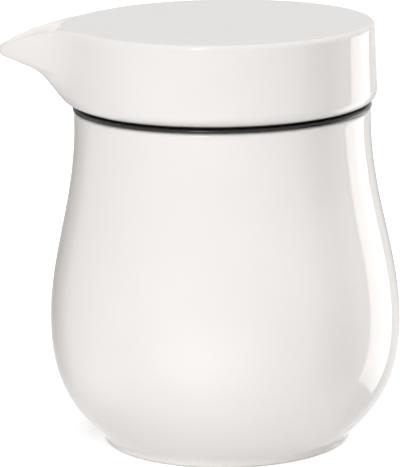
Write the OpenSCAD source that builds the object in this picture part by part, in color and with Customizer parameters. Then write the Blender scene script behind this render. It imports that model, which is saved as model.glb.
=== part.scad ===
// Sauce jug: a double-walled porcelain body without a handle, closed by a hollow porcelain lid
// that carries the pouring spout and stands in the neck on a silicone seal ring.
// Origin: middle of the foot, on the plane the jug stands on. Z points up, the spout points to -X.

/* [Body] */
// Height of the body from the foot to the rim
body_h = 102.2; // [98:0.1:108]
// Outer diameter at the belly
belly_d = 106; // [102:0.5:110]
// Height of the widest point of the belly
belly_z = 36.6; // [33:0.1:41]
// Outer diameter of the neck
neck_d = 89; // [87.5:0.1:91]
// Height of the straight neck below the rim
neck_h = 3.3; // [2:0.1:5]
// Outer diameter of the foot
foot_d = 74.8; // [72:0.1:78]
// Height of the foot below the belly's curve
foot_h = 2.2; // [1.8:0.1:2.8]
// Width of the ring that the foot stands on
foot_w = 3.2; // [2.6:0.1:4]
// Thickness of the outer wall and of the base
wall_t = 3; // [2.6:0.1:3.3]

/* [Inner cup] */
// Diameter of the mouth, where the seal's fins slide
mouth_d = 80.8; // [80:0.1:81.4]
// Depth of the straight mouth below the rim
mouth_h = 13.5; // [12:0.1:16]
// Inner diameter of the cup above its rounded floor
cup_d = 73.2; // [70:0.2:75]
// Height at which the cup's rounded floor starts
cup_bend_z = 30; // [27:0.5:34]
// Height of the cup's floor
cup_floor_z = 13.5; // [12.5:0.1:15]
// Thickness of the cup's wall
cup_t = 2.8; // [2.4:0.1:3.1]
// Height at which the two walls join below the neck
join_z = 73; // [68:0.5:75]

/* [Vent plug] */
// Diameter of the vent hole in the base
vent_d = 6; // [5:0.1:8]
// Diameter of the plug's head under the base
plug_head_d = 9; // [8.6:0.1:12]
// Thickness of the plug's head
plug_head_t = 1.1; // [0.8:0.1:1.3]
// Clearance between the plug's stem and the vent hole
plug_gap = 0.05; // [0.02:0.01:0.1]

/* [Seal ring] */
// Height of the bead that shows between lid and body
bead_t = 1.7; // [1.4:0.1:2.2]
// How far the bead stands out beyond the neck
bead_out = 0.5; // [0.4:0.1:1]
// Thickness of the sleeve around the lid's collar
sleeve_t = 1.2; // [1:0.1:1.5]
// Length of the sleeve below the bead
sleeve_h = 8.4; // [7.5:0.1:9.5]
// Number of sealing fins
fin_count = 3; // [2:1:4]
// Thickness of a fin at its tip
fin_t = 0.6; // [0.4:0.1:0.8]
// Gap between a fin's tip and the mouth
fin_gap = 0.2; // [0.1:0.05:0.3]
// Gap between the sleeve and the lid's collar
collar_gap = 0.1; // [0.05:0.05:0.2]

/* [Lid] */
// Diameter of the lid's band at its lower edge
lid_d = 92.9; // [92:0.1:95]
// Height of the lid from its lower edge to the deck
lid_h = 23.8; // [23:0.1:26]
// How much the band draws in from its lower to its upper edge
lid_draft = 0.5; // [0.2:0.1:1]
// Radius of the edge between band and deck
deck_round = 1.5; // [1:0.1:2.5]
// Radius of the band's lower edge
edge_round = 3.5; // [2.5:0.1:4]
// Thickness of the lid's wall and deck
lid_t = 3.2; // [2.8:0.1:3.6]
// Thickness of the collar
collar_t = 3; // [2.6:0.1:3.4]
// How far the collar reaches below the seal's sleeve
lip_h = 1.9; // [1.6:0.1:2.6]
// How far the collar's lip stands out under the sleeve
lip_out = 0.6; // [0.3:0.1:0.8]

/* [Spout] */
// Length of the spout beyond the band
spout_len = 19.9; // [17:0.1:22]
// Height of the spout's tip above the lid's lower edge
tip_h = 16.7; // [15:0.1:17.5]
// Radius of the lip at the tip
lip_round = 1.5; // [1.3:0.1:1.8]
// Angle over which the spout spreads into the band
spread = 9.6; // [8.6:0.1:10.4]
// Thickness of the spout's wall
spout_t = 2.5; // [2.2:0.1:2.8]
// Width of the opening from the hollow lid to the gutter
opening_w = 16; // [14:0.5:18]

/* [Hidden] */
$fn = 96;

// Body: radii and heights that follow from the sizes above
belly_r = belly_d / 2;
neck_r = neck_d / 2;
foot_r = foot_d / 2;
mouth_r = mouth_d / 2;
cup_r = cup_d / 2;
rim_round = 0.7;
foot_round = 0.9;
recess_z = foot_h - 0.2;
base_top = recess_z + wall_t;

// Collar and seal share one chain of radii, from the mouth inwards
sleeve_r = mouth_r - 1.9;
collar_r = sleeve_r - sleeve_t - collar_gap;
bore_r = collar_r - collar_t;
lid_z = body_h + bead_t;
seat_z = -bead_t - sleeve_h - 0.3;
collar_end = seat_z - lip_h;

// Lid
lid_r = lid_d / 2;
top_r = lid_r - lid_draft;
deck_r = top_r - deck_round - 0.8;
tip_r = lid_r + spout_len;
deck_edge = lid_r + 1.2;
opening_top = lid_h - lid_t - 1;
gutter_end = tip_r - spout_t - 0.9;
spout_power = 1.37;
droop_power = 1.87;
columns = 120;

// Point at t on a cubic curve with four control points
function curve_point(p, t) =
  pow(1 - t, 3) * p[0]
  + 3 * pow(1 - t, 2) * t * p[1]
  + 3 * (1 - t) * t * t * p[2]
  + pow(t, 3) * p[3];

// Row of points on a cubic curve, from t0 to t1 in n steps
function curve(p, n, t0 = 0, t1 = 1) = [for (i = [0:n]) curve_point(p, t0 + (t1 - t0) * i / n)];

// Arc about centre c with radius r, from angle a0 to a1 in n steps
function arc(c, r, a0, a1, n) = [
  for (i = [0:n])
    let (a = a0 + (a1 - a0) * i / n)
      c + r * [cos(a), sin(a)]
];

// Row of points moved sideways by d, to the left of its direction
function shifted(p, d) = [
  for (i = [0:len(p) - 1])
    let (v = p[min(i + 1, len(p) - 1)] - p[max(i - 1, 0)])
      p[i] + d * [-v[1], v[0]] / norm(v)
];

function reversed(p) = [for (i = [len(p) - 1:-1:0]) p[i]];

// Outer outline of the body: from the neck down to the belly, then in to the foot
neck_z = body_h - neck_h;
rise = neck_z - belly_z;
drop = belly_z - foot_h;
upper_curve = [
  [neck_r, neck_z],
  [neck_r, neck_z - 0.404 * rise],
  [belly_r, belly_z + 0.343 * rise],
  [belly_r, belly_z]
];
lower_curve = [
  [belly_r, belly_z],
  [belly_r, belly_z - 0.54 * drop],
  [foot_r + 0.55 * (belly_r - foot_r), foot_h + 0.22 * drop],
  [foot_r, foot_h]
];

// Inner outline of the cup: a slight taper, then the rounded floor
cup_wall = [[mouth_r, body_h - mouth_h], [cup_r, cup_bend_z]];
cup_floor = [
  [cup_r, cup_bend_z],
  [cup_r - 0.9, cup_floor_z + 2.5],
  [0.74 * cup_r, cup_floor_z],
  [0, cup_floor_z]
];

// Height share of the upper curve at which the walls part
function upper_t(z, a = 0, b = 1, n = 24) =
  let (m = (a + b) / 2)
    n == 0 ? m : curve_point(upper_curve, m)[1] > z ? upper_t(z, m, b, n - 1) : upper_t(z, a, m, n - 1);

module body_outline() {
  polygon(concat(
    [[0, body_h], [neck_r - rim_round, body_h]],
    arc([neck_r - rim_round, body_h - rim_round], rim_round, 75, 0, 3),
    curve(upper_curve, 18),
    curve(lower_curve, 16, 1 / 16),
    arc([foot_r - foot_round, foot_round], foot_round, 0, -90, 4),
    [[foot_r - foot_w, 0], [foot_r - foot_w - 0.6, recess_z], [0, recess_z]]
  ));
}

module cup_hollow() {
  polygon(concat(
    [[0, body_h + 1], [mouth_r, body_h + 1]],
    cup_wall,
    curve(cup_floor, 12, 1 / 12)
  ));
}

// Air space between the outer wall and the cup, open to the base only through the vent
module air_space() {
  wall = concat(curve(upper_curve, 10, upper_t(join_z)), curve(lower_curve, 9, 1 / 9, 0.86));
  outer = shifted(wall, -wall_t);
  inner = shifted(concat([cup_wall[0], cup_wall[1]], curve(cup_floor, 10, 0.1)), cup_t);
  low_r = outer[len(outer) - 1][0];
  polygon(concat(
    outer,
    [[low_r - 2, base_top], [0, base_top]],
    [for (p = reversed(inner)) if (p[1] < join_z - 4) [max(p[0], 0), p[1]]]
  ));
}

module jug_body() {
  color([0.96, 0.95, 0.94]) difference() {
    rotate_extrude() body_outline();
    rotate_extrude() cup_hollow();
    rotate_extrude() air_space();
    translate([0, 0, recess_z - 1]) cylinder(d = vent_d, h = wall_t + 2);
  }
}

// Silicone plug: head under the base, stem in the vent hole, rounded end in the air space
module vent_plug() {
  stem_r = vent_d / 2 - plug_gap;
  color([0.78, 0.77, 0.75]) rotate_extrude() polygon(concat(
    [[0, recess_z - plug_head_t], [plug_head_d / 2 - 0.4, recess_z - plug_head_t]],
    [[plug_head_d / 2, recess_z - plug_head_t + 0.4], [plug_head_d / 2, recess_z]],
    [[stem_r, recess_z], [stem_r, base_top]],
    [[stem_r - 0.8, base_top + 1.2], [0, base_top + 1.2]]
  ));
}

// Half section of one fin: it leaves the sleeve thick and slopes up to a thin tip
function fin(z) =
  let (tip = mouth_r - fin_gap)
    [[sleeve_r, z + 0.3], [tip, z + 0.9 + fin_t], [tip, z + 0.9], [sleeve_r, z - 0.9]];

// Seal ring: the bead lies on the rim, the sleeve hugs the collar, the fins reach for the mouth
module seal_ring() {
  bead_r = neck_r + bead_out;
  inner_r = collar_r + collar_gap;
  pitch = (sleeve_h - 1.6) / fin_count;
  color([0.1, 0.09, 0.09]) translate([0, 0, body_h]) rotate_extrude() polygon(concat(
    [[inner_r, -sleeve_h], [inner_r, bead_t], [bead_r - 0.5, bead_t]],
    [[bead_r - 0.15, bead_t - 0.2], [bead_r, bead_t - 0.6], [bead_r - 0.15, 0.5], [bead_r - 0.5, 0]],
    [[sleeve_r, 0]],
    [for (i = [0:fin_count - 1]) each fin(-2.2 - i * pitch)],
    [[sleeve_r, -sleeve_h + 0.3], [sleeve_r - 0.3, -sleeve_h]]
  ));
}

// Section of the lid's band, from its lower edge up to the deck
function band_section() = concat(
  arc([lid_r - edge_round, edge_round], edge_round, -90, 0, 4),
  [for (i = [1:8]) [lid_r - lid_draft * i / 9, edge_round + (lid_h - edge_round - deck_round) * i / 9]],
  arc([top_r - deck_round, lid_h - deck_round], deck_round, 0, 90, 4)
);

// Section of the beak through the middle of the spout: underside, tip, lip; as many points as the band
function beak_section() =
  let (
    under = [
      [lid_r + 0.3, 0],
      [lid_r + 0.153 * spout_len, 0.238 * tip_h],
      [lid_r + 0.345 * spout_len, 0.673 * tip_h],
      [lid_r + 0.653 * spout_len, 0.735 * tip_h]
    ],
    nose = [
      under[3],
      [lid_r + 0.985 * spout_len, 0.886 * tip_h],
      [tip_r, 0.858 * tip_h],
      [tip_r, tip_h]
    ]
  ) concat(
    curve(under, 7),
    curve(nose, 4, 0.25, 0.95),
    arc([tip_r - lip_round, tip_h], lip_round, 0, 90, 4)
  );

// Share of the beak in the section at angle a from the spout
function beak_share(a) = exp(-pow(abs(a) / spread, spout_power));

// Angles of the columns: close together at the spout, wide apart at the back
function column_angle(i) =
  let (s = i / columns - (i > columns / 2 ? 1 : 0))
    360 * (0.3 * s + 0.7 * 4 * pow(s, 3));

// Outer form of the lid: every column mixes the band's section with the beak's section
module lid_form() {
  band = band_section();
  beak = beak_section();
  rows = len(band);
  cap_rows = 3;
  points = [
    for (j = [0:rows + cap_rows - 1])
      for (i = [0:columns - 1])
        let (
          a = column_angle(i),
          s = beak_share(a),
          k = min(j, rows - 1),
          edge_r = band[k][0] + s * (beak[k][0] - band[k][0]),
          edge_z = band[k][1] + pow(s, droop_power) * (beak[k][1] - band[k][1]),
          c = max(j - rows + 1, 0) / cap_rows,
          r = edge_r + c * (deck_r - edge_r),
          z = edge_z + c * (lid_h - edge_z)
        ) [-r * cos(a), -r * sin(a), z]
  ];
  last = rows + cap_rows - 1;
  sides = [
    for (j = [0:last - 1])
      for (i = [0:columns - 1])
        let (n = (i + 1) % columns)
          [j * columns + i, (j + 1) * columns + i, (j + 1) * columns + n, j * columns + n]
  ];
  lower = [for (i = [0:columns - 1]) i];
  upper = [for (i = [columns - 1:-1:0]) last * columns + i];
  polyhedron(points, concat(sides, [lower, upper]));
}

// Half width of the gutter at distance x from the axis: it follows the spout's wall to the tip
function gutter_w(x) =
  let (
    share = max(0.05, min(0.995, (x - lid_r) / spout_len)),
    a = spread * pow(-ln(share), 1 / spout_power),
    inside_wall = max(0.3, x * sin(a) - spout_t)
  ) pow(pow(opening_w / 2, -4) + pow(inside_wall, -4), -1 / 4);

// Height of the gutter's floor at distance x from the axis: it rises until it runs out at the lip
function gutter_floor(x) =
  let (s = (x - lid_r) / (gutter_end - lid_r))
    s < 0 ? 0.3 * tip_h + 2.2 * s : 0.3 * tip_h + 0.8 * tip_h * pow(s, 0.62);

// Trough with a round floor, from the lid's inside to the tip
module trough() {
  stations = concat(
    [bore_r + 2, bore_r + 6],
    [for (i = [0:11]) lid_r + (gutter_end - lid_r) * (1 - pow(1 - i / 11, 1.4))]
  );
  arcs = 10;
  per = arcs + 3;
  points = [
    for (x = stations)
      let (
        w = gutter_w(x),
        f = gutter_floor(x),
        d = min(w, 0.7 * (opening_top - f))
      ) each concat(
        [[-x, w, lid_h + 3]],
        [for (i = [0:arcs]) [-x, w * cos(180 * i / arcs), f + d - d * sin(180 * i / arcs)]],
        [[-x, -w, lid_h + 3]]
      )
  ];
  n = len(stations);
  sides = [
    for (j = [0:n - 2])
      for (i = [0:per - 1])
        let (m = (i + 1) % per)
          [j * per + i, (j + 1) * per + i, (j + 1) * per + m, j * per + m]
  ];
  first = [for (i = [0:per - 1]) i];
  last = [for (i = [per - 1:-1:0]) (n - 1) * per + i];
  polyhedron(points, concat(sides, [first, last]));
}

// Hollow of the spout: under the deck it leads to the lid's inside, beyond the deck it is an open gutter
module gutter() {
  difference() {
    trough();
    translate([0, 0, opening_top]) cylinder(r = deck_edge, h = lid_h);
  }
}

// Hollow of the lid: the collar's bore opens into the wider space under the deck
module lid_hollow() {
  wide_r = top_r - lid_t;
  ceiling = lid_h - lid_t;
  polygon(concat(
    [[0, collar_end - 1], [bore_r, collar_end - 1], [bore_r, lid_t]],
    [[wide_r - 1.5, lid_t + 3]],
    [[wide_r, lid_t + 6]],
    arc([wide_r - 4, ceiling - 4], 4, 0, 90, 4),
    [[0, ceiling]]
  ));
}

// Collar with the lip that keeps the seal ring on
module collar() {
  lip_r = collar_r + lip_out;
  polygon([
    [bore_r - 1, lid_t],
    [collar_r, lid_t],
    [collar_r, seat_z],
    [lip_r, seat_z - lip_out],
    [lip_r, collar_end + 0.6],
    [lip_r - 0.6, collar_end],
    [bore_r - 1, collar_end]
  ]);
}

module spout_lid() {
  color([0.96, 0.95, 0.94]) translate([0, 0, lid_z]) difference() {
    union() {
      lid_form();
      rotate_extrude() collar();
    }
    rotate_extrude() lid_hollow();
    gutter();
  }
}

jug_body();
vent_plug();
seal_ring();
spout_lid();
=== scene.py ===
"""Sauce jug: porcelain body with a silicone vent plug, silicone seal ring, porcelain lid with a beak spout.

The jug stands on its foot ring at the origin with the spout towards -X. Sizes inside the classes are in
millimetres, as on a maker's drawing, and every mesh is made in metres.
"""

import logging
import math
from collections.abc import Callable
from dataclasses import dataclass, field
from enum import Enum

import bmesh
import bpy
import numpy as np
from bpy.types import Material, Mesh, Node, NodeSocket, NodeTree, Object
from mathutils import Matrix, Vector


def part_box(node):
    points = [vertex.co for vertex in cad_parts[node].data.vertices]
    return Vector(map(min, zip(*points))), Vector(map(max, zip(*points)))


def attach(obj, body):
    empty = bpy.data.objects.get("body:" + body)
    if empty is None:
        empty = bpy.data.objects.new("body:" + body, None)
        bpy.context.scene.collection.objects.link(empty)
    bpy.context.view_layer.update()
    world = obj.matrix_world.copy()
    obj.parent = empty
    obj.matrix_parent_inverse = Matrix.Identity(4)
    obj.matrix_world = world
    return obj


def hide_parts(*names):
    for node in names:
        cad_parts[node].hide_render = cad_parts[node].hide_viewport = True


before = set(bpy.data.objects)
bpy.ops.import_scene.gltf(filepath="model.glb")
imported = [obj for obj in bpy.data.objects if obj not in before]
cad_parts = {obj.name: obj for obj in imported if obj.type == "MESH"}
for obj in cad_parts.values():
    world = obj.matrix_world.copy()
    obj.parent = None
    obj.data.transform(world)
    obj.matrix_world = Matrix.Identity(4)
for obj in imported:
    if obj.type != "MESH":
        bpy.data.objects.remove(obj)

log = logging.getLogger("sauce_jug")

Array = np.ndarray
Pair = tuple[float, float]
Outline = list[Pair]
Field = Callable[[Array, Array, Array], Array]
Colour = tuple[float, float, float, float]

MM = 0.001
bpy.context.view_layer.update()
# Radius, past the axis, at which the sections of the lid close
PAST_AXIS = -60.0
# Least turn that counts as a corner, and the most of a side that its rounding takes
CORNER_TURN, SIDE_SHARE = math.radians(12), 0.45
# Distance in metres under which vertices are one, and a length that keeps a divisor from zero
MERGE, TINY = 1e-6, 1e-9
# Height in millimetres of the clay that the glaze leaves bare where a piece stood in the kiln
BARE_H = 0.25
# Rows at which the lid's lower edge, band and deck edge end, and the turn of one rounded row in degrees
EDGE_END, BAND_END, DECK_END, ROW_TURN = 4, 13, 17, 22.5
# Row at which the beak's underside ends, and the share of its nose that some rows have reached
UNDER_END, NOSE_ROWS, NOSE_SHARES = 7, [7, 8, 12, 13], [0, 0.25, 0.95, 1]

WHITE: Colour = (1.0, 1.0, 1.0, 1.0)
BLACK: Colour = (0.01, 0.01, 0.01, 1.0)


class Body(Enum):
    """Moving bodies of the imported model."""

    JUG = "jug"
    SEAL = "seal"
    LID = "lid"


class Slot(Enum):
    """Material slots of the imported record."""

    BODY = "body_porcelain"
    LID = "lid_porcelain"
    RING = "ring_silicone"
    PLUG = "plug_silicone"


def bezier(points: Outline, steps: int, start: float = 0.0, end: float = 1.0) -> Outline:
    """Sample the cubic curve of four control points between two parameters, both ends included."""
    t = np.linspace(start, end, steps + 1)[:, None]
    p = np.array(points, float)
    line = (1 - t) ** 3 * p[0] + 3 * (1 - t) ** 2 * t * p[1] + 3 * (1 - t) * t**2 * p[2] + t**3 * p[3]
    return [(float(r), float(z)) for r, z in line]


def arc(centre: Pair, radius: float, start: float, end: float, steps: int) -> Outline:
    """Sample a circular arc between two angles in degrees, both ends included."""
    turns = np.radians(np.linspace(start, end, steps + 1))
    r, z = centre
    return [(float(r + radius * math.cos(a)), float(z + radius * math.sin(a))) for a in turns]


def rounded(outline: Outline, radius: float, steps: int = 5) -> Outline:
    """Round the inner corners of an open outline.

    Args:
        outline: Points of the outline in order.
        radius: Largest rounding; short sides get less.
        steps: Number of steps across a corner.

    Returns:
        The outline with a short curve in place of every clear corner.
    """
    result = [outline[0]]
    for before, here, after in zip(outline, outline[1:], outline[2:]):
        p, a, b = (np.array(q, float) for q in (here, before, after))
        back, ahead = a - p, b - p
        sides = np.linalg.norm(back), np.linalg.norm(ahead)
        if min(sides) < 1e-6:
            continue
        turn = math.pi - math.acos(float(np.clip(back @ ahead / (sides[0] * sides[1]), -1, 1)))
        if turn < CORNER_TURN:
            result.append(here)
            continue
        reach = min(radius * math.tan(turn / 2), SIDE_SHARE * min(sides))
        first, last = p + back / sides[0] * reach, p + ahead / sides[1] * reach
        for t in np.linspace(0, 1, steps + 1):
            point = (1 - t) ** 2 * first + 2 * t * (1 - t) * p + t**2 * last
            result.append((float(point[0]), float(point[1])))
    return result + [outline[-1]]


def dense(outline: Outline, step: float) -> Outline:
    """Divide the sides of an outline that are longer than a step, so that a turned mesh shades evenly."""
    result = [outline[0]]
    for (r0, z0), (r1, z1) in zip(outline, outline[1:]):
        parts = max(1, math.ceil(math.hypot(r1 - r0, z1 - z0) / step))
        result += [(r0 + (r1 - r0) * i / parts, z0 + (z1 - z0) * i / parts) for i in range(1, parts + 1)]
    return result


class Wiring:
    """Adds and joins the nodes of one tree."""

    def __init__(self, tree: NodeTree) -> None:
        """Keep the tree that the nodes go into."""
        self.tree = tree

    def fill(self, node: Node, inputs: dict[str | int, object]) -> None:
        """Link or set several inputs of a node, by name or number."""
        for key, value in inputs.items():
            if isinstance(value, NodeSocket):
                self.tree.links.new(value, node.inputs[key])
            else:
                node.inputs[key].default_value = value

    def add(self, kind: str, inputs: dict[str | int, object] | None = None, **settings: object) -> Node:
        """Return a new node of a kind, with its own settings and with values or sockets for its inputs."""
        node = self.tree.nodes.new(kind)
        for name, value in settings.items():
            setattr(node, name, value)
        self.fill(node, inputs or {})
        return node

    def math(self, operation: str, *values: object) -> NodeSocket:
        """Return the result of one Math node."""
        return self.add("ShaderNodeMath", dict(enumerate(values)), operation=operation).outputs[0]

    def remap(self, value: object, old: Pair, new: Pair = (0.0, 1.0)) -> NodeSocket:
        """Return a value moved smoothly from one range to another and held at the ends."""
        names = {"Value": value, "From Min": old[0], "From Max": old[1], "To Min": new[0], "To Max": new[1]}
        return self.add("ShaderNodeMapRange", names, interpolation_type="SMOOTHSTEP").outputs[0]

    def mix(self, share: object, first: object, second: object) -> NodeSocket:
        """Return a colour mixed from two."""
        inputs = {0: share, 6: first, 7: second}
        return self.add("ShaderNodeMix", inputs, data_type="RGBA").outputs[2]

    def bump(self, height: object, distance: float) -> NodeSocket:
        """Return a normal for a height pattern, with the relief in metres."""
        inputs = {"Strength": 1.0, "Distance": distance, "Height": height}
        return self.add("ShaderNodeBump", inputs).outputs[0]

    def shown(self) -> NodeSocket:
        """Return 1 where the camera, a gloss or a clear wall shows a surface, and 0 for its light."""
        path = self.add("ShaderNodeLightPath").outputs
        mirrored = self.math("MAXIMUM", path["Is Glossy Ray"], path["Is Transmission Ray"])
        return self.math("MAXIMUM", path["Is Camera Ray"], mirrored)

    def noise(self, vector: object, scale: float, detail: float = 2.0) -> NodeSocket:
        """Return the strength of a noise pattern, in features per metre."""
        inputs = {"Vector": vector, "Scale": scale, "Detail": detail}
        return self.add("ShaderNodeTexNoise", inputs).outputs[0]


def placed(name: str, data: bpy.types.ID) -> Object:
    """Return a new object in the scene that holds a mesh, lamp or camera."""
    made = bpy.data.objects.new(name, data)
    bpy.context.scene.collection.objects.link(made)
    return made


def shader_group(name: str, value: str, colours: str, results: str) -> tuple[Wiring, Node, Node]:
    """Start a shader node group that reads a place as Vector and gives a Colour.

    Args:
        name: Name of the group.
        value: Name of its number input.
        colours: Names of its colour inputs, with spaces between them.
        results: Names of its number outputs, with spaces between them.

    Returns:
        The wiring of the group, the node that gives its inputs and the node that takes its outputs.
    """
    tree = bpy.data.node_groups.new(name, "ShaderNodeTree")
    for side, kind, labels in (
        ("INPUT", "NodeSocketVector", "Vector"),
        ("INPUT", "NodeSocketFloat", value),
        ("INPUT", "NodeSocketColor", colours),
        ("OUTPUT", "NodeSocketColor", "Colour"),
        ("OUTPUT", "NodeSocketFloat", results),
    ):
        for label in labels.split():
            tree.interface.new_socket(label, in_out=side, socket_type=kind)
    wiring = Wiring(tree)
    return wiring, wiring.add("NodeGroupInput"), wiring.add("NodeGroupOutput")


class TurnedShape:
    """Geometry Nodes tree that turns an outline about the jug's axis, as a potter's wheel does."""

    def __init__(self) -> None:
        """Build the tree once for every turned piece."""
        self.tree = bpy.data.node_groups.new("turned_shape", "GeometryNodeTree")
        self.sockets: dict[str, str] = {}
        for label, kind, side in (
            ("Outline", "NodeSocketGeometry", "INPUT"),
            ("Outline Points", "NodeSocketInt", "INPUT"),
            ("Segments", "NodeSocketInt", "INPUT"),
            ("Finish", "NodeSocketMaterial", "INPUT"),
            ("Skin", "NodeSocketGeometry", "OUTPUT"),
        ):
            socket = self.tree.interface.new_socket(label, in_out=side, socket_type=kind)
            self.sockets[label] = socket.identifier
        self._wire()

    def _wire(self) -> None:
        """Lay a grid of outline points by segments and roll it round the axis."""
        w = Wiring(self.tree)
        given = w.add("NodeGroupInput").outputs
        columns = w.math("ADD", given["Segments"], 1)
        grid = w.add("GeometryNodeMeshGrid", {"Vertices X": columns, "Vertices Y": given["Outline Points"]})
        index = w.add("GeometryNodeInputIndex").outputs[0]
        column = w.math("FLOOR", w.math("DIVIDE", index, given["Outline Points"]))
        row = w.math("MODULO", index, given["Outline Points"])
        turn = w.math("MULTIPLY", w.math("DIVIDE", column, given["Segments"]), 2 * math.pi)
        place = w.add("GeometryNodeInputPosition").outputs[0]
        taken = w.add("GeometryNodeSampleIndex", data_type="FLOAT_VECTOR", domain="POINT")
        w.fill(taken, {"Geometry": given["Outline"], "Value": place, "Index": row})
        point = w.add("ShaderNodeSeparateXYZ", {0: taken.outputs[0]}).outputs
        x = w.math("MULTIPLY", point["X"], w.math("COSINE", turn))
        y = w.math("MULTIPLY", point["X"], w.math("SINE", turn))
        spot = w.add("ShaderNodeCombineXYZ", {"X": x, "Y": y, "Z": point["Z"]}).outputs[0]
        skin = grid.outputs["Mesh"]
        for kind, inputs in (
            ("GeometryNodeSetPosition", {"Position": spot}),
            ("GeometryNodeMergeByDistance", {"Distance": MERGE}),
            ("GeometryNodeSetShadeSmooth", {}),
            ("GeometryNodeRealizeInstances", {}),
            ("GeometryNodeSetMaterial", {"Material": given["Finish"]}),
        ):
            skin = w.add(kind, {"Geometry": skin, **inputs}).outputs[0]
        w.add("NodeGroupOutput", {"Skin": skin})

    def spin(self, name: str, outline: Outline, finish: Material, segments: int) -> Object:
        """Turn an outline into a closed mesh.

        Args:
            name: Name of the piece.
            outline: Radius and height of each point in millimetres; it closes on itself or on the axis.
            finish: Material of the piece.
            segments: Number of segments round the axis.

        Returns:
            The piece as a plain mesh object at the origin.
        """
        line = bpy.data.meshes.new(name + "_outline")
        spots = [(r * MM, 0.0, z * MM) for r, z in outline]
        line.from_pydata(spots, [(i, i + 1) for i in range(len(spots) - 1)], [])
        piece = placed(name, line)
        modifier = piece.modifiers.new("turned", "NODES")
        modifier.node_group = self.tree
        modifier[self.sockets["Outline Points"]] = len(spots)
        modifier[self.sockets["Segments"]] = segments
        modifier[self.sockets["Finish"]] = finish
        evaluated = piece.evaluated_get(bpy.context.evaluated_depsgraph_get())
        skin = bpy.data.meshes.new_from_object(evaluated)
        piece.modifiers.remove(modifier)
        piece.data = skin
        bpy.data.meshes.remove(line)
        skin.name = name
        face_outwards(skin)
        return piece


def face_outwards(mesh: Mesh) -> None:
    """Merge doubles, drop slivers at the poles and turn every face outwards."""
    work = bmesh.new()
    work.from_mesh(mesh)
    bmesh.ops.remove_doubles(work, verts=work.verts, dist=MERGE)
    bmesh.ops.recalc_face_normals(work, faces=work.faces)
    work.to_mesh(mesh)
    work.free()


def sum_near(ends: Array, values: Array) -> Array:
    """Return, for each vertex, the sum of a value over the vertices that edges join it to."""
    a, b = ends.T
    return np.bincount(a, values[b], len(values)) + np.bincount(b, values[a], len(values))


def mark_edges(mesh: Mesh, sharp: float = 1.2) -> None:
    """Store how sharply the surface bends at each vertex as the attribute edge_bend.

    Args:
        mesh: Mesh to mark.
        sharp: Radius in millimetres that counts as a full edge; hollows come out negative.
    """
    count = len(mesh.vertices)
    spots, normals = np.empty(count * 3), np.empty(count * 3)
    mesh.vertices.foreach_get("co", spots)
    mesh.vertex_normals.foreach_get("vector", normals)
    spots, normals = spots.reshape(-1, 3), normals.reshape(-1, 3)
    ends = np.empty(len(mesh.edges) * 2, np.int64)
    mesh.edges.foreach_get("vertices", ends)
    ends = ends.reshape(-1, 2)
    a, b = ends.T
    along, swing = spots[b] - spots[a], normals[b] - normals[a]
    bend = (along * swing).sum(1) / np.maximum((along**2).sum(1), 1e-12)
    value = np.clip(bend * sharp * MM, -1, 1)
    total = np.bincount(a, value, count) + np.bincount(b, value, count)
    weight = np.maximum(sum_near(ends, np.ones(count)), 1)
    share = total / weight
    for _ in range(2):
        share = 0.5 * share + 0.5 * sum_near(ends, share) / weight
    stored = mesh.attributes.new("edge_bend", "FLOAT", "POINT")
    stored.data.foreach_set("value", share.astype(np.float32))


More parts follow.
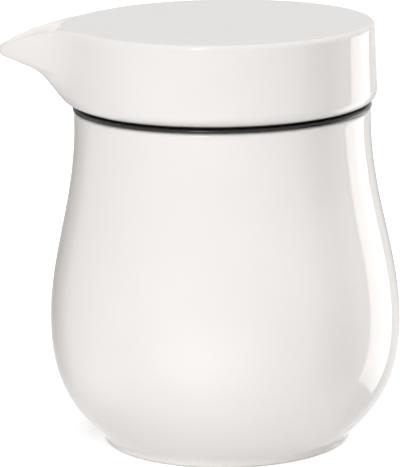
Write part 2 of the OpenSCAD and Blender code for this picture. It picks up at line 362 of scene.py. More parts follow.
class Surfaces:
    """Surface effects that several finishes share, each a node group built once."""

    # Share of the fine peel in the glaze's relief, and how far its lower edge wanders and fades in metres
    PEEL, WANDER, FADE = 0.08, 0.5 * MM, 0.25 * MM

    def __init__(self) -> None:
        """Build the groups."""
        self.glaze = self._glaze()
        self.clay = self._clay()
        self.silicone = self._silicone()

    def _glaze(self) -> NodeTree:
        """Return the group for a fired glaze: cloudy tint, thin edges, full hollows, faint ripple."""
        colours = "White Cloud Thin Pooled Speck"
        w, source, drain = shader_group("fired_glaze", "Bend", colours, "Roughness Height")
        given = source.outputs
        at = given["Vector"]
        cloud = w.remap(w.noise(at, scale=26.0, detail=3.0), (0.34, 0.66))
        tint = w.mix(cloud, given["White"], given["Cloud"])
        tint = w.mix(w.remap(given["Bend"], (0.12, 0.9), (0.0, 0.55)), tint, given["Thin"])
        tint = w.mix(w.remap(given["Bend"], (-0.9, -0.1), (0.7, 0.0)), tint, given["Pooled"])
        cells = w.add("ShaderNodeTexVoronoi", {"Vector": at, "Scale": 105.0}).outputs
        chance = w.add("ShaderNodeSeparateColor", {0: cells["Color"]}).outputs[0]
        rare = w.remap(chance, (0.86, 0.9))
        speck = w.math("MULTIPLY", w.remap(cells["Distance"], (0.012, 0.04), (0.22, 0.0)), rare)
        worn = w.remap(w.noise(at, scale=70.0, detail=4.0), (0.3, 0.75), (0.045, 0.085))
        ripple = w.noise(at, scale=55.0, detail=1.0)
        peel = w.math("MULTIPLY", w.noise(at, scale=520.0), self.PEEL)
        w.fill(drain, {"Colour": w.mix(speck, tint, given["Speck"]), "Roughness": worn,
                       "Height": w.math("ADD", ripple, peel)})
        return w.tree

    def _clay(self) -> NodeTree:
        """Return the group for bare fired clay below a level: mask, colour, roughness and grain."""
        w, source, drain = shader_group("bare_clay", "Level", "Clay Grain", "Mask Roughness Height")
        given = source.outputs
        at = given["Vector"]
        height = w.add("ShaderNodeSeparateXYZ", {0: at}).outputs["Z"]
        ragged = w.math("MULTIPLY", w.noise(at, scale=300.0, detail=3.0), self.WANDER)
        below = w.math("SUBTRACT", w.math("ADD", given["Level"], ragged), height)
        grain = w.noise(at, scale=2600.0, detail=4.0)
        w.fill(drain, {"Mask": w.remap(below, (0.0, self.FADE)),
                       "Colour": w.mix(w.remap(grain, (0.35, 0.65)), given["Clay"], given["Grain"]),
                       "Roughness": w.remap(grain, (0.3, 0.7), (0.62, 0.8)), "Height": grain})
        return w.tree

    @staticmethod
    def _silicone() -> NodeTree:
        """Return the group for moulded silicone: fine grain, lint and handled patches."""
        w, source, drain = shader_group("moulded_silicone", "Satin", "Rubber Lint", "Roughness Height")
        given = source.outputs
        at = given["Vector"]
        lint = w.remap(w.noise(at, scale=900.0, detail=6.0), (0.56, 0.78), (0.0, 0.5))
        patch = w.remap(w.noise(at, scale=90.0), (0.35, 0.65), (0.4, 1.0))
        handled = w.remap(w.noise(at, scale=160.0, detail=3.0), (0.3, 0.7), (0.8, 1.2))
        w.fill(drain, {"Colour": w.mix(w.math("MULTIPLY", lint, patch), given["Rubber"], given["Lint"]),
                       "Roughness": w.math("MULTIPLY", handled, given["Satin"]),
                       "Height": w.noise(at, scale=3000.0, detail=3.0)})
        return w.tree


def new_material(name: str) -> tuple[Material, Wiring, Node]:
    """Return a new material, its wiring and its Principled shader."""
    material = bpy.data.materials.new(name)
    material.use_nodes = True
    return material, Wiring(material.node_tree), material.node_tree.nodes["Principled BSDF"]


@dataclass(frozen=True)
class PorcelainGlaze:
    """Clear gloss glaze on white porcelain, with bare clay where the piece stood in the kiln."""

    name: str
    bare_level: float
    white: Colour = (0.893, 0.857, 0.833, 1.0)
    cloud: Colour = (0.877, 0.84, 0.814, 1.0)
    thin: Colour = (0.85, 0.81, 0.78, 1.0)
    pooled: Colour = (0.86, 0.832, 0.815, 1.0)
    speck: Colour = (0.5, 0.43, 0.36, 1.0)
    clay: Colour = (0.78, 0.745, 0.7, 1.0)
    grain: Colour = (0.66, 0.62, 0.57, 1.0)
    ripple: float = 0.00003
    clay_relief: float = 0.3
    ior: float = 1.5

    def material(self, surfaces: Surfaces) -> Material:
        """Build the material from the shared effects; it reads Object coordinates and edge_bend."""
        made, w, shader = new_material(self.name)
        vector = w.add("ShaderNodeTexCoord").outputs["Object"]
        bend = w.add("ShaderNodeAttribute", attribute_name="edge_bend").outputs["Fac"]
        coat = {"Vector": vector, "Bend": bend, "White": self.white, "Cloud": self.cloud, "Thin": self.thin,
                "Pooled": self.pooled, "Speck": self.speck}
        glaze = w.add("ShaderNodeGroup", coat, node_tree=surfaces.glaze).outputs
        ground = {"Vector": vector, "Level": self.bare_level * MM, "Clay": self.clay, "Grain": self.grain}
        clay = w.add("ShaderNodeGroup", ground, node_tree=surfaces.clay).outputs
        bare = clay["Mask"]
        gloss = w.add("ShaderNodeMix", {0: bare, 2: glaze["Roughness"], 3: clay["Roughness"]}).outputs[0]
        rough = w.math("MULTIPLY", w.math("MULTIPLY", clay["Height"], bare), self.clay_relief)
        relief = w.bump(w.math("ADD", glaze["Height"], rough), self.ripple)
        colour = w.mix(bare, glaze["Colour"], clay["Colour"])
        w.fill(shader, {"Base Color": colour, "Roughness": gloss, "Normal": relief, "IOR": self.ior})
        return made


@dataclass(frozen=True)
class Silicone:
    """Moulded silicone rubber."""

    name: str
    rubber: Colour
    lint: Colour
    satin: float
    grain: float
    ior: float = 1.41
    sheen: float = 0.65

    def material(self, surfaces: Surfaces) -> Material:
        """Build the material from the shared effects; it reads Object coordinates."""
        made, w, shader = new_material(self.name)
        vector = w.add("ShaderNodeTexCoord").outputs["Object"]
        mould = {"Vector": vector, "Rubber": self.rubber, "Lint": self.lint, "Satin": self.satin}
        skin = w.add("ShaderNodeGroup", mould, node_tree=surfaces.silicone).outputs
        w.fill(shader, {"Base Color": skin["Colour"], "Roughness": skin["Roughness"],
                        "Normal": w.bump(skin["Height"], self.grain), "IOR": self.ior,
                        "Specular IOR Level": self.sheen})
        return made


def settle(piece: Object, node: str, body: Body) -> None:
    """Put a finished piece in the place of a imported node.

    Args:
        piece: The finished piece.
        node: Name of the node that it stands for.
        body: Body that it moves with.
    """
    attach(piece, body.value)
    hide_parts(node)
    faces = len(piece.data.polygons)
    log.info("%s: %d faces, stands for %s, rides on %s", piece.name, faces, node, body.value)


@dataclass
class JugBody:
    """Bellied porcelain body with its inner cup, rim and foot ring."""

    height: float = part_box("jug_body")[1].z / MM
    belly_r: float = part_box("jug_body")[1].y / MM
    belly_z: float = 36.6
    neck_r: float = 44.5
    neck_h: float = 3.3
    rim_round: float = 1.6
    foot_r: float = 37.4
    foot_h: float = 2.2
    foot_w: float = 3.2
    foot_round: float = 0.9
    foot_fill: float = 0.045
    fill_pull: float = 0.6
    recess: float = 2.0
    recess_draft: float = 0.6
    recess_round: float = 0.6
    mouth_r: float = 40.4
    mouth_h: float = 13.5
    mouth_round: float = 0.9
    cup_r: float = 36.6
    cup_bend_z: float = 30.0
    cup_floor_z: float = 13.5
    cup_flat: float = 0.74
    cup_pull: Pair = (0.9, 2.5)
    neck_pull: float = 0.404
    shoulder_pull: float = 0.343
    belly_pull: float = 0.54
    foot_pull: Pair = (0.55, 0.22)
    longest_side: float = 1.3
    segments: int = 256

    def outer_wall(self) -> Outline:
        """Return the wall from the neck down to the foot."""
        neck_z = self.height - self.neck_h
        rise, drop = neck_z - self.belly_z, self.belly_z - self.foot_h
        belly = (self.belly_r, self.belly_z)
        upper = [(self.neck_r, neck_z), (self.neck_r, neck_z - self.neck_pull * rise),
                 (self.belly_r, self.belly_z + self.shoulder_pull * rise), belly]
        swell = self.foot_r + self.foot_pull[0] * (self.belly_r - self.foot_r)
        lower = [belly, (self.belly_r, self.belly_z - self.belly_pull * drop),
                 (swell, self.foot_h + self.foot_pull[1] * drop), (self.foot_r, self.foot_h)]
        wall = bezier(upper, steps=56) + bezier(lower, steps=44, end=1.0 - self.foot_fill)[1:]
        return wall + self.filled(wall[-1], lower[3], (self.foot_r, self.foot_round))[1:-1]

    def filled(self, first: Pair, corner: Pair, last: Pair) -> Outline:
        """Return the curve that the glaze makes in an inner corner."""
        pulls = [tuple(e + self.fill_pull * (c - e) for e, c in zip(end, corner)) for end in (first, last)]
        return bezier([first, *pulls, last], steps=8)

    def outline(self) -> Outline:
        """Return the whole skin, from the middle of the cup's floor to the middle of the base."""
        pull_r, pull_z = self.cup_pull
        floor = [(0.0, self.cup_floor_z), (self.cup_flat * self.cup_r, self.cup_floor_z),
                 (self.cup_r - pull_r, self.cup_floor_z + pull_z), (self.cup_r, self.cup_bend_z)]
        rim_r, foot_r = self.neck_r - self.rim_round, self.foot_r - self.foot_round
        mouth = rounded([(self.cup_r, self.cup_bend_z), (self.mouth_r, self.height - self.mouth_h),
                         (self.mouth_r, self.height), (rim_r, self.height)], self.mouth_round)
        rim = arc((rim_r, self.height - self.rim_round), self.rim_round, 90, 0, steps=6)
        foot = arc((foot_r, self.foot_round), self.foot_round, 0, -90, steps=6)
        inner_r = self.foot_r - self.foot_w
        hollow = rounded([(foot_r, 0.0), (inner_r, 0.0), (inner_r - self.recess_draft, self.recess),
                          (0.0, self.recess)], self.recess_round)
        line = bezier(floor, steps=40) + mouth[1:-1] + rim + self.outer_wall() + foot + hollow[1:]
        return dense(line, self.longest_side)

    def build(self, wheel: TurnedShape, finish: Material) -> None:
        """Turn the body from porcelain and put it in place."""
        piece = wheel.spin("porcelain_body", self.outline(), finish, self.segments)
        mark_edges(piece.data)
        settle(piece, "jug_body", Body.JUG)


@dataclass
class VentPlug:
    """Small silicone plug that closes the vent hole under the base."""

    foot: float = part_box("vent_plug")[0].z / MM
    top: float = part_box("vent_plug")[1].z / MM
    head_r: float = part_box("vent_plug")[1].x / MM
    head_t: float = 1.1
    stem_r: float = 2.95
    pip_h: float = 0.35
    pip_floor_r: float = 0.7
    pip_r: float = 0.9
    taper: float = 0.8
    taper_h: float = 1.2
    edge_round: float = 0.4
    longest_side: float = 0.5
    segments: int = 64

    def build(self, wheel: TurnedShape, finish: Material) -> None:
        """Turn the plug from silicone and put it in place."""
        seat, pip_z = self.foot + self.head_t, self.foot + self.pip_h
        pip = [(0.0, pip_z), (self.pip_floor_r, pip_z), (self.pip_r, self.foot), (self.head_r, self.foot)]
        stem = [(self.head_r, seat), (self.stem_r, seat), (self.stem_r, self.top - self.taper_h),
                (self.stem_r - self.taper, self.top), (0.0, self.top)]
        line = dense(rounded(pip + stem, self.edge_round), self.longest_side)
        piece = wheel.spin("vent_plug_skin", line, finish, self.segments)
        settle(piece, "vent_plug", Body.JUG)


@dataclass
class SealRing:
    """Black silicone ring: bead on the rim, sleeve round the collar, fins in the neck."""

    rim_z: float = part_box("jug_body")[1].z / MM
    top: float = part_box("seal_ring")[1].z / MM
    foot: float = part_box("seal_ring")[0].z / MM
    bead_r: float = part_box("seal_ring")[1].x / MM
    inner_r: float = 37.3
    sleeve_r: float = 38.5
    fin_r: float = 40.2
    fin_count: int = 3
    fin_t: float = 0.6
    fin_start: float = 2.2
    fin_margin: float = 1.6
    fin_root: float = 0.3
    fin_slope: float = 0.9
    lip_round: float = 0.75
    lip_in: float = 0.12
    lip_rise: float = 0.25
    lip_end: float = -15.0
    seat_in: float = 0.5
    slot: float = 2.4
    sunk: float = 0.2
    edge_round: float = 0.3
    longest_side: float = 0.9
    segments: int = 256

    def fins(self) -> Outline:
        """Return the outer side of the sleeve from the bead down, with its sloping fins."""
        line: Outline = []
        pitch = (self.rim_z - self.foot - self.fin_margin) / self.fin_count
        for i in range(self.fin_count):
            z = self.rim_z - self.fin_start - i * pitch
            edge = z + self.fin_slope
            line += [(self.sleeve_r, z + self.fin_root), (self.fin_r, edge + self.fin_t),
                     (self.fin_r, edge), (self.sleeve_r, z - self.fin_slope)]
        return line

    def build(self, wheel: TurnedShape, finish: Material) -> None:
        """Turn the ring from silicone and put it in place."""
        lip = (self.bead_r - self.lip_in - self.lip_round, self.rim_z + self.lip_rise)
        top = self.top - self.sunk
        bead = [(self.bead_r - self.slot, top), (self.bead_r - self.slot, lip[1] + self.lip_round)]
        bead += arc(lip, self.lip_round, 90, self.lip_end, steps=14)
        bead += [(self.bead_r - self.seat_in, self.rim_z)]
        middle = [(0.5 * (self.inner_r + self.bead_r), top)]
        sleeve = [(self.sleeve_r, self.rim_z), *self.fins(), (self.sleeve_r, self.foot),
                  (self.inner_r, self.foot), (self.inner_r, top)]
        line = rounded(middle + bead + sleeve + middle, self.edge_round, steps=4)
        piece = wheel.spin("silicone_ring", dense(line, self.longest_side), finish, self.segments)
        settle(piece, "seal_ring", Body.SEAL)


def soft_max(first: Array, second: Array, reach: float) -> Array:
    """Return the larger of two fields, rounded over where they are close."""
    near = np.maximum(reach - np.abs(first - second), 0) / reach
    return np.maximum(first, second) + near**2 * reach / 4


def section_field(r: Array, z: Array, corners: list[tuple[object, object]]) -> Array:
    """Signed distance to a closed outline in the half plane.

    Args:
        r: Distance of each point from the axis.
        z: Height of each point.
        corners: Radius and height of each corner, the same for all points or one value for each.

    Returns:
        The distance to the outline, negative inside.
    """
    least = np.full(r.shape, np.inf, r.dtype)
    inside = np.zeros(r.shape, bool)
    for (r0, z0), (r1, z1) in zip(corners, corners[1:] + corners[:1]):
        dr, dz = r1 - r0, z1 - z0
        share = np.clip(((r - r0) * dr + (z - z0) * dz) / np.maximum(dr * dr + dz * dz, TINY), 0, 1)
        least = np.minimum(least, (r - r0 - share * dr) ** 2 + (z - z0 - share * dz) ** 2)
        spans = (z0 > z) != (z1 > z)
        level = r0 + (z - z0) * dr / np.where(np.abs(dz) < TINY, TINY, dz)
        inside ^= spans & (r < level)
    return np.where(inside, -1, 1) * np.sqrt(least)


@dataclass(frozen=True)
class SkinMesher:
    """Turns a signed field that is the same on both sides of the XZ plane into a smooth quad mesh."""

    step: float
    probe: float = 0.04
    least_slope: float = 0.05
    rounds: int = 3
    pulls: int = 2

    def sample(self, shape: Field, low: Array, high: Array) -> tuple[Array, Array]:
        """Return a field's values on a regular net and the place of the first; low's Y is ignored."""
        ends = (low[0], high[0]), (0.0, high[1]), (low[2], high[2])
        xs, ys, zs = (np.arange(a, b, self.step) for a, b in ends)
        x, y, z = np.meshgrid(xs, ys, zs, indexing="ij")
        half = shape(x, y, z)
        return np.concatenate([half[:, :0:-1], half], axis=1), np.array([xs[0], -ys[-1], zs[0]])

    def net(self, values: Array, corner: Array) -> tuple[Array, Array]:
        """Draw quads through the net's cells that the surface crosses.

        Args:
            values: Field values on the net.
            corner: Place of the first value.

        Returns:
            Vertices in millimetres and quads by vertex number, facing outwards.
        """
        inside = values < 0
        a, b, c = (n - 1 for n in values.shape)
        corners = inside.astype(np.int8)
        count = sum(corners[i:i + a, j:j + b, k:k + c] for i, j, k in np.ndindex(2, 2, 2))
        cells = np.argwhere((count > 0) & (count < 8))
        number = np.full(count.shape, -1)
        number[tuple(cells.T)] = np.arange(len(cells))
        total, hits = np.zeros((len(cells), 3)), np.zeros((len(cells), 1))
        quads = []
        for axis in range(3):
            step, u, v = np.eye(3, dtype=int)[[axis, (axis + 1) % 3, (axis + 2) % 3]]
            for start in (0 * u, u, v, u + v):
                first = values[tuple((cells + start).T)]
                second = values[tuple((cells + start + step).T)]
                crossed = (first < 0) != (second < 0)
                share = np.where(crossed, first / np.where(crossed, first - second, 1), 0)
                total += (start + share[:, None] * step) * crossed[:, None]
                hits += crossed[:, None]
            ahead = np.roll(inside, -1, axis)
            edges = np.argwhere(inside != ahead)
            fits = (edges >= u + v).all(1) & (edges < np.array(count.shape)).all(1)
            edges = edges[fits]
            ring = np.stack([number[tuple((edges - d).T)] for d in (0 * u, u, u + v, v)], 1)
            outward = inside[tuple(edges.T)]
            quads.append(np.where(outward[:, None], ring, ring[:, ::-1]))
        return (cells + total / hits) * self.step + corner, np.concatenate(quads)

    def slope(self, shape: Field, spots: Array) -> Array:
        """Return the field's slope at each spot."""
        sides = []
        for d in self.probe * np.eye(3):
            sides.append((shape(*(spots + d).T) - shape(*(spots - d).T)) / (2 * self.probe))
        return np.stack(sides, 1)

    def pull(self, shape: Field, spots: Array) -> Array:
        """Return the spots moved along the field's slope onto its zero."""
        slope = self.slope(shape, spots)
        slope /= np.maximum((slope**2).sum(1, keepdims=True), self.least_slope)
        for _ in range(self.pulls):
            move = shape(*spots.T)[:, None] * slope
            spots = spots - np.clip(move, -0.5 * self.step, 0.5 * self.step)
        return spots

    def mesh(self, name: str, shape: Field, low: Array, high: Array, lift: float) -> Mesh:
        """Mesh a field.

        Args:
            name: Name of the mesh.
            shape: The field in millimetres.
            low: Lowest corner of the room that the shape takes.
            high: Highest corner of that room.
            lift: Height in millimetres that is added to every vertex.

        Returns:
            A smooth mesh in metres whose normals follow the field.
        """
        spots, quads = self.net(*self.sample(shape, low, high))
        ends = np.concatenate([quads[:, [i, (i + 1) % 4]] for i in range(4)])
        weight = np.maximum(sum_near(ends, np.ones(len(spots))), 1)[:, None]
        for _ in range(self.rounds):
            near = np.stack([sum_near(ends, column) for column in spots.T], 1)
            spots = self.pull(shape, 0.5 * spots + 0.5 * near / weight)
        normals = self.slope(shape, spots)
        normals /= np.maximum(np.linalg.norm(normals, axis=1, keepdims=True), TINY)
        mesh = bpy.data.meshes.new(name)
        mesh.from_pydata(((spots + (0, 0, lift)) * MM).tolist(), [], quads.tolist())
        mesh.shade_smooth()
        mesh.normals_split_custom_set_from_vertices(normals.tolist())
        return mesh


@dataclass
class SpoutLid:
    """Porcelain lid: flat deck, tall band, beak spout with an open gutter, hollow inside, collar below."""

    seat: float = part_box("seal_ring")[1].z / MM
    radius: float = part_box("spout_lid")[1].x / MM
    tip_r: float = -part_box("spout_lid")[0].x / MM
    top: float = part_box("spout_lid")[1].z / MM
    foot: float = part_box("spout_lid")[0].z / MM
    draft: float = 0.5
    deck_round: float = 1.5
    deck_inset: float = 0.8
    deck_cover: float = 6.5
    edge_round: float = 3.5
    sit: float = 0.2
    wall: float = 3.2
    collar_r: float = 37.2
    collar_t: float = 3.0
    collar_chamfer: float = 0.6
    collar_round: float = 0.4
    lip_h: float = 1.9
    lip_out: float = 0.6
    shoulder_in: float = 1.5
    shoulder_h: Pair = (3.0, 6.0)
    ceiling_round: float = 4.0
    inner_round: float = 1.4
    bore_cut: float = 9.0
    tip_h: float = 16.7
    root_out: float = 0.3
    under: tuple[Pair, ...] = ((0.153, 0.238), (0.345, 0.673), (0.653, 0.735))
    nose: tuple[Pair, ...] = ((0.985, 0.886), (1.0, 0.858))
    lip_round: float = 1.5
    spread: float = 8.7
    tip_blunt: float = 2.4
    spout_power: float = 1.15
    droop_power: float = 1.87
    spout_t: float = 2.5
    spout_range: Pair = (0.05, 0.995)
    opening_w: float = 16.0
    opening_drop: float = 1.0
    opening_blend: float = 4.0
    gutter_inset: float = 1.9
    gutter_back: float = 2.0
    least_half: float = 0.3
    floor_start: float = 0.3
    floor_rise: float = 0.8
    floor_power: float = 0.62
    floor_slope: float = 2.2
    bowl_share: float = 0.7
    waist_share: float = 0.4
    waist_drop: float = 1.5
    lean: float = 0.45
    roof_lean: float = 0.6
    roof_soft: float = 3.0
    deck_ease: float = 1.4
    edge_soft: float = 1.7
    hollow_soft: float = 0.6
    row_steps: int = 51
    deck_steps: int = 6
    net_step: float = 0.68
    net_margin: float = 2.5
    block: int = 16384

    def __post_init__(self) -> None:
        """Work out the heights and radii that follow from the sizes."""
        self.height = self.top - self.seat
        self.low = self.foot - self.seat
        self.reach = self.tip_r - self.radius
        self.band_top_r = self.radius - self.draft
        self.deck_r = self.band_top_r - self.deck_round - self.deck_inset
        self.deck_edge = self.deck_r + self.deck_cover
        self.bore_r = self.collar_r - self.collar_t
        self.hollow_r = self.band_top_r - self.wall
        self.ceiling = self.height - self.wall
        self.opening_top = self.ceiling - self.opening_drop
        self.gutter_end = self.tip_r - self.lip_round - self.gutter_inset
        shares = [DECK_END * i / self.row_steps for i in range(self.row_steps + 1)]
        self.rows = [self._band(t) + self._beak(t) for t in shares]

    def _band(self, t: float) -> Pair:
        """Return the point at row t of the plain band's outline, from its foot to the deck."""
        if t <= EDGE_END:
            centre = (self.radius - self.edge_round, self.edge_round - self.sit)
            return arc(centre, self.edge_round, -90, -90 + ROW_TURN * t, 1)[1]
        if t <= BAND_END:
            share = (t - EDGE_END) / (BAND_END - EDGE_END)
            start = self.edge_round - self.sit
            return self.radius - self.draft * share, start + (self.height - self.deck_round - start) * share
        centre = (self.band_top_r - self.deck_round, self.height - self.deck_round)
        return arc(centre, self.deck_round, 0, ROW_TURN * (t - BAND_END), 1)[1]

    def _beak(self, t: float) -> Pair:
        """Return the point at row t of the beak's outline along its middle, as for the band."""
        under, nose = ([(self.radius + out * self.reach, up * self.tip_h) for out, up in shares]
                       for shares in (self.under, self.nose))
        if t <= UNDER_END:
            return bezier([(self.radius + self.root_out, 0.0), *under], 1, 0, t / UNDER_END)[1]
        if t <= BAND_END:
            share = float(np.interp(t, NOSE_ROWS, NOSE_SHARES))
            return bezier([under[-1], *nose, (self.tip_r, self.tip_h)], 1, 0, share)[1]
        centre = (self.tip_r - self.lip_round, self.tip_h)
        return arc(centre, self.lip_round, 0, ROW_TURN * (t - BAND_END), 1)[1]

    def outer_form(self, x: Array, y: Array, z: Array) -> Array:
        """Return the field of the solid band, deck and beak."""
        r, angle = np.hypot(x, y), np.degrees(np.arctan2(np.abs(y), -x))
        turn = np.hypot(angle, self.tip_blunt) - self.tip_blunt
        beak = np.exp(-((turn / self.spread) ** self.spout_power))
        droop = beak**self.droop_power
        corners: list[tuple[object, object]] = [(PAST_AXIS, -self.sit)]
        for band_r, band_z, beak_r, beak_z in self.rows:
            corners.append((band_r + beak * (beak_r - band_r), band_z + droop * (beak_z - band_z)))
        rim_r, rim_z = corners[-1]
        for t in np.linspace(0, 1, self.deck_steps + 1)[1:]:
            rise = 1 - (1 - t) ** self.deck_ease
            corners.append((rim_r + t * (self.deck_r - rim_r), rim_z + rise * (self.height - rim_z)))
        return section_field(r, z, corners + [(PAST_AXIS, self.height)])

    def collar(self, r: Array, z: Array) -> Array:
        """Return the field of the solid collar that stands in the neck."""
        lip_r, ledge = self.collar_r + self.lip_out, self.low + self.lip_h
        line = [(PAST_AXIS, self.wall), (self.collar_r, self.wall), (self.collar_r, ledge),
                (lip_r, ledge - self.lip_out), (lip_r, self.low + self.collar_chamfer),
                (lip_r - self.collar_chamfer, self.low), (PAST_AXIS, self.low)]
        return section_field(r, z, rounded(line, self.collar_round))

    def hollow(self, r: Array, z: Array) -> Array:
        """Return the field of the room inside the lid and its collar."""
        below = self.low - self.bore_cut
        start, end = (self.wall + h for h in self.shoulder_h)
        line = [(PAST_AXIS, below), (self.bore_r, below), (self.bore_r, self.wall),
                (self.hollow_r - self.shoulder_in, start), (self.hollow_r, end)]
        centre = (self.hollow_r - self.ceiling_round, self.ceiling - self.ceiling_round)
        line += arc(centre, self.ceiling_round, 0, 90, steps=8) + [(PAST_AXIS, self.ceiling)]
        return section_field(r, z, rounded(line, self.inner_round))

    def gutter(self, x: Array, y: Array, z: Array) -> Array:
        """Return the field of the open gutter that runs from the hollow to the spout's lip."""
        out = -x
        share = np.clip((out - self.radius) / self.reach, *self.spout_range)
        turn = self.spread * (-np.log(share)) ** (1 / self.spout_power)
        angle = np.radians(np.sqrt(turn * (turn + 2 * self.tip_blunt)))
        inside = np.maximum(self.least_half, out * np.sin(angle) - self.spout_t)
        blend = self.opening_blend
        half = ((self.opening_w / 2) ** -blend + inside**-blend) ** (-1 / blend)
        along = (out - self.radius) / (self.gutter_end - self.radius)
        rise = self.floor_rise * self.tip_h * np.maximum(along, 1e-6) ** self.floor_power
        floor = self.floor_start * self.tip_h + np.where(along < 0, self.floor_slope * along, rise)
        depth = np.minimum(half, self.bowl_share * (self.opening_top - floor))
        depth = np.maximum(depth, self.least_half)
        drop = np.maximum(self.opening_top + self.waist_drop - floor - depth, 0)
        waist = np.maximum(half - self.lean * drop, self.waist_share * half)
        bowl = (np.hypot(y / waist, (z - floor - depth) / depth) - 1) * np.minimum(waist, depth)
        wall = (np.abs(y) - waist - self.lean * (z - floor - depth)) / math.hypot(1.0, self.lean)
        trough = np.where(z > floor + depth, wall, bowl)
        trough = np.maximum(trough, np.maximum(out - self.gutter_end, self.bore_r + self.gutter_back - out))
        edge = np.hypot(x, y) - self.deck_edge + self.roof_lean * (z - self.opening_top)
        roof = soft_max(edge / math.hypot(1.0, self.roof_lean), self.opening_top - z, self.edge_soft)
        return soft_max(trough, -roof, self.roof_soft)

    def shape(self, x: Array, y: Array, z: Array) -> Array:
        """Return the field of the finished lid, worked out in blocks that stay in fast memory."""
        points = [np.ravel(a).astype(np.float32) for a in (x, y, z)]
        result = np.empty(points[0].shape, np.float32)
        for start in range(0, len(result), self.block):
            px, py, pz = (a[start:start + self.block] for a in points)
            r = np.hypot(px, py)
            solid = np.minimum(self.outer_form(px, py, pz), self.collar(r, pz))
            solid = soft_max(solid, -self.hollow(r, pz), self.hollow_soft)
            result[start:start + self.block] = soft_max(solid, -self.gutter(px, py, pz), self.edge_soft)
        return result.reshape(np.shape(x))

    def build(self, finish: Material) -> None:
        """Mesh the lid in porcelain and put it in place."""
        margin = self.net_margin * self.net_step
        low = np.array([-self.tip_r - margin, 0.0, self.low - margin])
        high = np.array([self.radius + margin, self.radius + margin, self.height + margin])
        mesh = SkinMesher(self.net_step).mesh("porcelain_lid", self.shape, low, high, self.seat)
        mesh.materials.append(finish)
        piece = placed("porcelain_lid", mesh)
        mark_edges(mesh)
        settle(piece, "spout_lid", Body.LID)


def towards(azimuth: float, elevation: float) -> Vector:
    """Return a unit vector; azimuth 0 is the camera's side (-Y) and 90 is +X, in degrees."""
    a, e = math.radians(azimuth), math.radians(elevation)
    return Vector((math.sin(a) * math.cos(e), -math.cos(a) * math.cos(e), math.sin(e)))


@dataclass(frozen=True)
class Glow:
    """One broad patch of light on the studio's walls."""

    azimuth: float
    elevation: float
    sharpness: float
    strength: float


@dataclass(frozen=True)
class Fitting:
    """A flat thing that hangs in the studio and faces the jug's axis; its sizes are in metres."""

    name: str
    azimuth: float
    elevation: float
    distance: float
    width: float
    height: float
    lift: float = field(default=0.06, kw_only=True)

    def hung(self) -> tuple[Vector, Matrix]:
        """Return the middle of the fitting and its turn."""
        aim = towards(self.azimuth, self.elevation)
        return Vector((0, 0, self.lift)) + aim * self.distance, aim.to_track_quat("Z", "Y").to_matrix()


@dataclass(frozen=True)
class Panel(Fitting):
    """A soft light panel that the camera doesn't see; without gives_light it only shines in the glaze."""

    radiance: float
    gives_light: bool = True
    roll: float = 0.0

    def build(self) -> None:
        """Hang the panel."""
        lamp = bpy.data.lights.new(self.name, "AREA")
        lamp.shape = "RECTANGLE"
        lamp.size, lamp.size_y = self.width, self.height
        lamp.energy = self.radiance * math.pi * self.width * self.height
        holder = placed(self.name, lamp)
        holder.location, facing = self.hung()
        roll = Matrix.Rotation(math.radians(self.roll), 3, "Z")
        holder.rotation_euler = (facing @ roll).to_euler()
        holder.visible_camera = False
        holder.visible_diffuse = self.gives_light


@dataclass(frozen=True)
class Card(Fitting):
    """A card with soft edges that only the glaze shows: dark beside the jug, or bright below its belly."""

    shade: float
    soft: float = 0.4
    shine: float = 0.0

    def build(self) -> None:
        """Hang the card."""
        work = bmesh.new()
        work.loops.layers.uv.verify()
        bmesh.ops.create_grid(work, x_segments=1, y_segments=1, size=0.5, calc_uvs=True)
        mesh = bpy.data.meshes.new(self.name)
        work.to_mesh(mesh)
        work.free()
        spot, facing = self.hung()
        size = Matrix.Diagonal((self.width, self.height, 1.0, 1.0))
        mesh.transform(Matrix.Translation(spot) @ facing.to_4x4() @ size)
        mesh.materials.append(self.cloth())
        card = placed(self.name, mesh)
        card.visible_camera = card.visible_diffuse = False
        card.visible_shadow = card.visible_transmission = False

    def cloth(self) -> Material:
        """Return the card's material, which thins out towards its edges."""
        made, w, shader = new_material(self.name)
        spot = w.add("ShaderNodeSeparateXYZ", {0: w.add("ShaderNodeTexCoord").outputs["UV"]}).outputs
        cover: object = self.shade
        for label in ("X", "Y"):
            edge = w.math("MINIMUM", spot[label], w.math("SUBTRACT", 1.0, spot[label]))
            cover = w.math("MULTIPLY", cover, w.remap(edge, (0.0, self.soft)))
        w.fill(shader, {"Alpha": cover, "Base Color": BLACK, "Emission Color": WHITE,
                        "Emission Strength": self.shine, "Roughness": 1.0, "Specular IOR Level": 0.0})
        return made


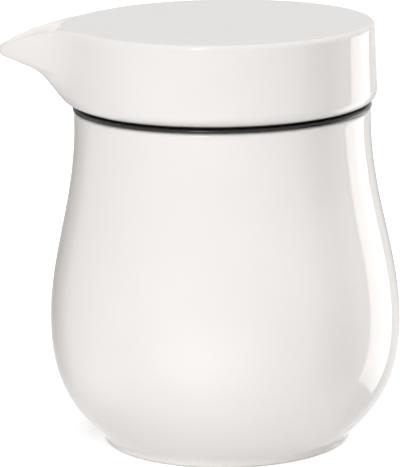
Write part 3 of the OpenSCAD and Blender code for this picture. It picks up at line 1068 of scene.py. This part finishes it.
@dataclass
class Studio:
    """White studio: walls that glow unevenly, light panels, cards, a pale floor and the camera."""

    glows: tuple[Glow, ...] = (
        Glow(-45, 4, 60.0, 0.6),
        Glow(-40, 30, 16.0, 1.62),
        Glow(0, 30, 16.0, 2.03),
        Glow(0, 60, 16.0, 0.45),
        Glow(120, 30, 16.0, 0.52),
        Glow(120, 60, 16.0, 1.05),
        Glow(160, 60, 16.0, 0.85),
    )
    panels: tuple[Panel, ...] = (
        Panel("strip_right", 117.6, -5.4, 0.312, 0.17, 0.28, radiance=2.2, lift=0.03, roll=-7.6),
        Panel("key_window", -19.0, 42.0, 0.9, 0.17, 0.6, radiance=4.2, gives_light=False),
    )
    cards: tuple[Card, ...] = (
        Card("card_left", -142.0, -1.0, 0.6, 0.6, 0.8, shade=0.75),
        Card("card_right", 76.0, -10.0, 0.6, 0.52, 0.8, shade=1.0),
        Card("card_back", 180.0, 12.0, 0.8, 0.9, 0.34, shade=0.22),
        Card("card_low", 180.0, -9.0, 0.3, 0.5, 0.14, shade=0.7),
        Card("card_strip", 118.0, -40.0, 0.3, 0.3, 0.2, shade=0.35),
        Card("pool_front", -16.0, -19.0, 0.36, 0.75, 0.32, shade=1.0, soft=0.5, shine=2.0),
        Card("pool_left", -88.0, -28.0, 0.36, 0.5, 0.3, shade=0.9, soft=0.5, shine=2.0),
    )
    floor_size: float = 1.2
    floor_white: Colour = (0.88, 0.88, 0.88, 1.0)
    floor_rough: float = 0.9
    floor_lift: float = 0.48
    eye: tuple[float, float, float] = (0.0, -976.7, 279.7)
    aim: tuple[float, float, float] = (-7.27, 0.0, 63.0)
    roll: float = -0.9
    lens: float = 254.9
    sensor: float = 36.0
    clip: Pair = (0.01, 20.0)

    def light_walls(self) -> None:
        """Build the world: patches of light for the object, plain white where the walls show."""
        world = bpy.data.worlds.new("white_studio")
        bpy.context.scene.world = world
        world.use_nodes = True
        world.node_tree.nodes.clear()
        w = Wiring(world.node_tree)
        ray = w.add("ShaderNodeTexCoord").outputs["Generated"]
        total: object = 0.0
        for glow in self.glows:
            facing = w.add("ShaderNodeVectorMath", {0: ray, 1: towards(glow.azimuth, glow.elevation)},
                           operation="DOT_PRODUCT").outputs["Value"]
            near = w.math("POWER", w.math("MULTIPLY_ADD", facing, 0.5, 0.5), glow.sharpness)
            total = w.math("MULTIPLY_ADD", near, glow.strength, total)
        walls = w.add("ShaderNodeBackground", {"Color": WHITE, "Strength": total})
        plain = w.add("ShaderNodeBackground", {"Color": WHITE, "Strength": 1.0})
        seen = w.add("ShaderNodeMixShader", {0: w.shown(), 1: walls.outputs[0], 2: plain.outputs[0]})
        w.add("ShaderNodeOutputWorld", {"Surface": seen.outputs[0]})

    def lay_floor(self) -> None:
        """Lay a pale round floor that keeps the jug's shadow, looks white and is clear from below."""
        work = bmesh.new()
        bmesh.ops.create_circle(work, cap_ends=True, segments=96, radius=self.floor_size)
        mesh = bpy.data.meshes.new("studio_floor")
        work.to_mesh(mesh)
        work.free()
        floor = placed("studio_floor", mesh)
        made, w, shader = new_material("pale_floor")
        behind = w.add("ShaderNodeNewGeometry").outputs["Backfacing"]
        w.fill(shader, {"Base Color": self.floor_white, "Roughness": self.floor_rough,
                        "Specular IOR Level": 0.0, "Emission Color": WHITE,
                        "Emission Strength": w.math("MULTIPLY", w.shown(), self.floor_lift),
                        "Alpha": w.math("SUBTRACT", 1.0, behind)})
        mesh.materials.append(made)
        floor.visible_glossy = False

    def set_camera(self) -> None:
        """Place the camera where the photograph was taken from."""
        lens = bpy.data.cameras.new("camera")
        lens.lens, lens.sensor_width, lens.sensor_fit = self.lens, self.sensor, "AUTO"
        lens.clip_start, lens.clip_end = self.clip
        camera = placed("camera", lens)
        eye, aim = Vector(self.eye) * MM, Vector(self.aim) * MM
        turn = (eye - aim).to_track_quat("Z", "Y").to_matrix().to_4x4()
        roll = Matrix.Rotation(math.radians(self.roll), 4, "Z")
        camera.matrix_world = Matrix.Translation(eye) @ turn @ roll
        bpy.context.scene.camera = camera

    def build(self) -> None:
        """Build the whole studio."""
        self.set_camera()
        self.light_walls()
        self.lay_floor()
        for fitting in (*self.panels, *self.cards):
            fitting.build()
        bpy.context.scene.view_settings.view_transform = "Standard"
        counts = (len(fittings) for fittings in (self.glows, self.panels, self.cards))
        log.info("studio: %d glows, %d panels, %d cards", *counts)


def main() -> None:
    """Build the pieces in order, then the studio."""
    logging.basicConfig(level=logging.INFO, format="%(name)s: %(message)s")
    surfaces, wheel = Surfaces(), TurnedShape()
    JugBody().build(wheel, PorcelainGlaze("body_glaze", BARE_H).material(surfaces))
    plug_rubber = Silicone("plug_rubber", rubber=(0.5, 0.49, 0.47, 1.0), lint=(0.6, 0.59, 0.57, 1.0),
                           satin=0.42, grain=0.00004)
    VentPlug().build(wheel, plug_rubber.material(surfaces))
    ring_rubber = Silicone("ring_rubber", rubber=(0.005, 0.0036, 0.0034, 1.0),
                           lint=(0.017, 0.014, 0.013, 1.0), satin=0.18, grain=0.00001)
    SealRing().build(wheel, ring_rubber.material(surfaces))
    lid = SpoutLid()
    lid.build(PorcelainGlaze("lid_glaze", lid.foot + BARE_H).material(surfaces))
    Studio().build()


if __name__ == "__main__":
    main()
